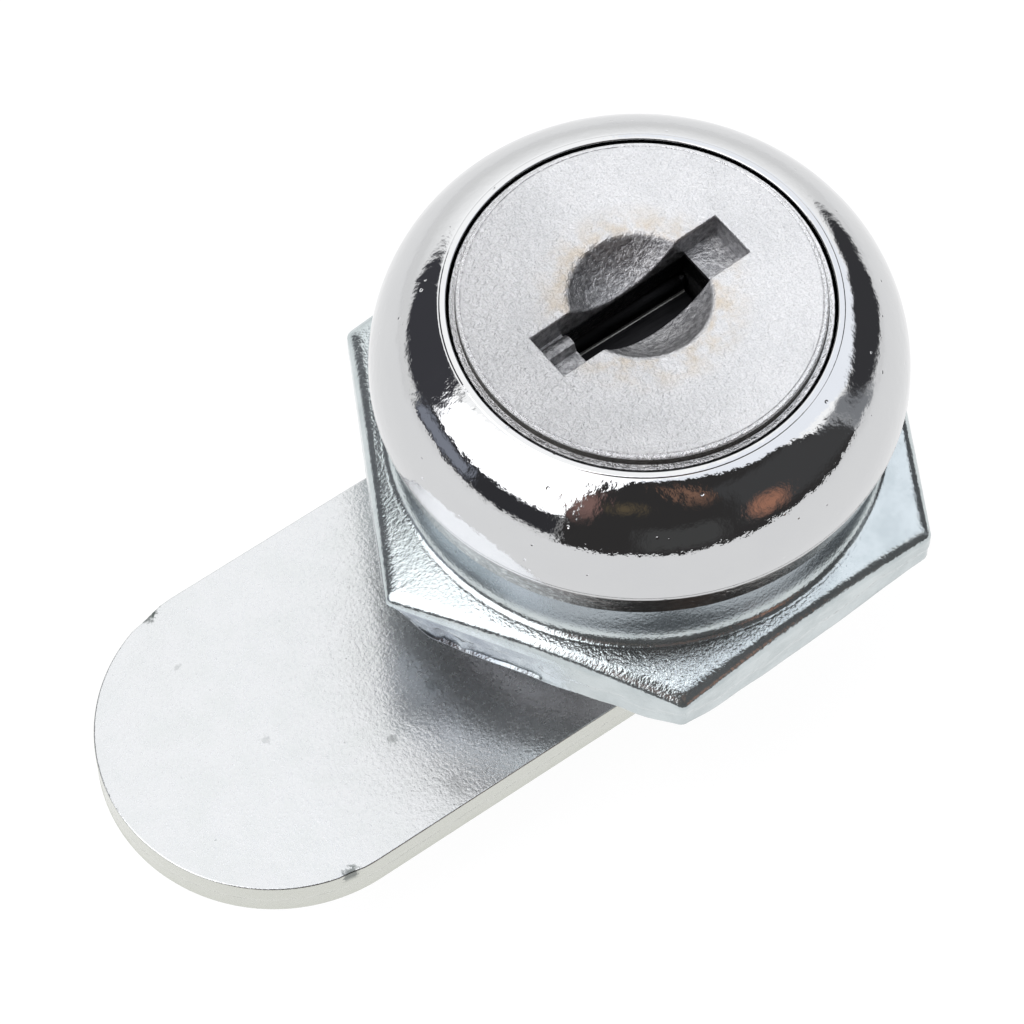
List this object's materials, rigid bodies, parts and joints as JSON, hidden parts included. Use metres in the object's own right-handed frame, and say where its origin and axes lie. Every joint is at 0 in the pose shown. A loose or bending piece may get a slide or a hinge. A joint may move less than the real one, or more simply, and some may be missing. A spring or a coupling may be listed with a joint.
{
  "type": "cam lock",
  "caption": "Key-operated cam lock: domed chrome head, shuttered keyway, threaded barrel with hex nut, and a flat cam that turns a quarter turn.",
  "frame": {"origin": "centre of the head's back face, which seats on the panel, on the lock's axis", "axes": "+Z along the lock's axis towards the key face, +X along the cam from the axis to its tip, +Y completes the right hand"},
  "size_m": [0.0407, 0.024, 0.0232],
  "materials": {
    "chrome": "bright chrome plating over a die casting, slight orange peel",
    "satin_face": "fine-grained satin",
    "zinc_plate": "bright bluish zinc plating on stamped steel",
    "zinc_cam": "bright zinc plating with fine satin texture, sheared edges",
    "cast_zinc": "dull die-cast zinc",
    "brass": "plain stamped brass",
    "spring_steel": "drawn spring wire and thin sheet"
  },
  "bodies": {
    "housing": {"lock_body": "chrome"},
    "nut": {"hex_nut": "zinc_plate"},
    "plug_and_cam": {"plug": "cast_zinc", "face_cap": "satin_face", "shutter_pin": "spring_steel", "shutter_spring": "spring_steel", "wafer_spring_1": "spring_steel", "wafer_spring_2": "spring_steel", "wafer_spring_3": "spring_steel", "wafer_spring_4": "spring_steel", "wafer_spring_5": "spring_steel", "stop_washer": "zinc_plate", "cam": "zinc_cam", "lock_washer": "zinc_plate", "cam_screw": "zinc_plate"},
    "shutter_flap": {"shutter": "spring_steel"},
    "wafer_1_body": {"wafer_1": "brass"},
    "wafer_2_body": {"wafer_2": "brass"},
    "wafer_3_body": {"wafer_3": "brass"},
    "wafer_4_body": {"wafer_4": "brass"},
    "wafer_5_body": {"wafer_5": "brass"}
  },
  "joints": [
    {"name": "plug_turn", "type": "hinge", "parent": "housing", "child": "plug_and_cam", "pos_m": [0, 0, 0], "axis": [0, 0, 1], "range_deg": [0, 90]},
    {"name": "nut_travel", "type": "slide", "parent": "housing", "child": "nut", "axis": [0, 0, 1], "range_m": [-0.0019, 0.0008]},
    {"name": "shutter_swing", "type": "hinge", "parent": "plug_and_cam", "child": "shutter_flap", "pos_m": [0, -0.00175, 0.0032], "axis": [-1, 0, 0], "range_deg": [0, 80], "stiffness_Nm_per_rad": 0.0002, "springref_deg": -17.19, "deforming": ["shutter_spring"]},
    {"name": "wafer_1_slide", "type": "slide", "parent": "plug_and_cam", "child": "wafer_1_body", "axis": [1, 0, 0], "range_m": [0, 0.0006], "stiffness_N_per_m": 150, "deforming": ["wafer_spring_1"]},
    {"name": "wafer_2_slide", "type": "slide", "parent": "plug_and_cam", "child": "wafer_2_body", "axis": [-1, 0, 0], "range_m": [0, 0.0006], "stiffness_N_per_m": 150, "deforming": ["wafer_spring_2"]},
    {"name": "wafer_3_slide", "type": "slide", "parent": "plug_and_cam", "child": "wafer_3_body", "axis": [1, 0, 0], "range_m": [0, 0.0006], "stiffness_N_per_m": 150, "deforming": ["wafer_spring_3"]},
    {"name": "wafer_4_slide", "type": "slide", "parent": "plug_and_cam", "child": "wafer_4_body", "axis": [-1, 0, 0], "range_m": [0, 0.0006], "stiffness_N_per_m": 150, "deforming": ["wafer_spring_4"]},
    {"name": "wafer_5_slide", "type": "slide", "parent": "plug_and_cam", "child": "wafer_5_body", "axis": [1, 0, 0], "range_m": [0, 0.0006], "stiffness_N_per_m": 150, "deforming": ["wafer_spring_5"]}
  ]
}
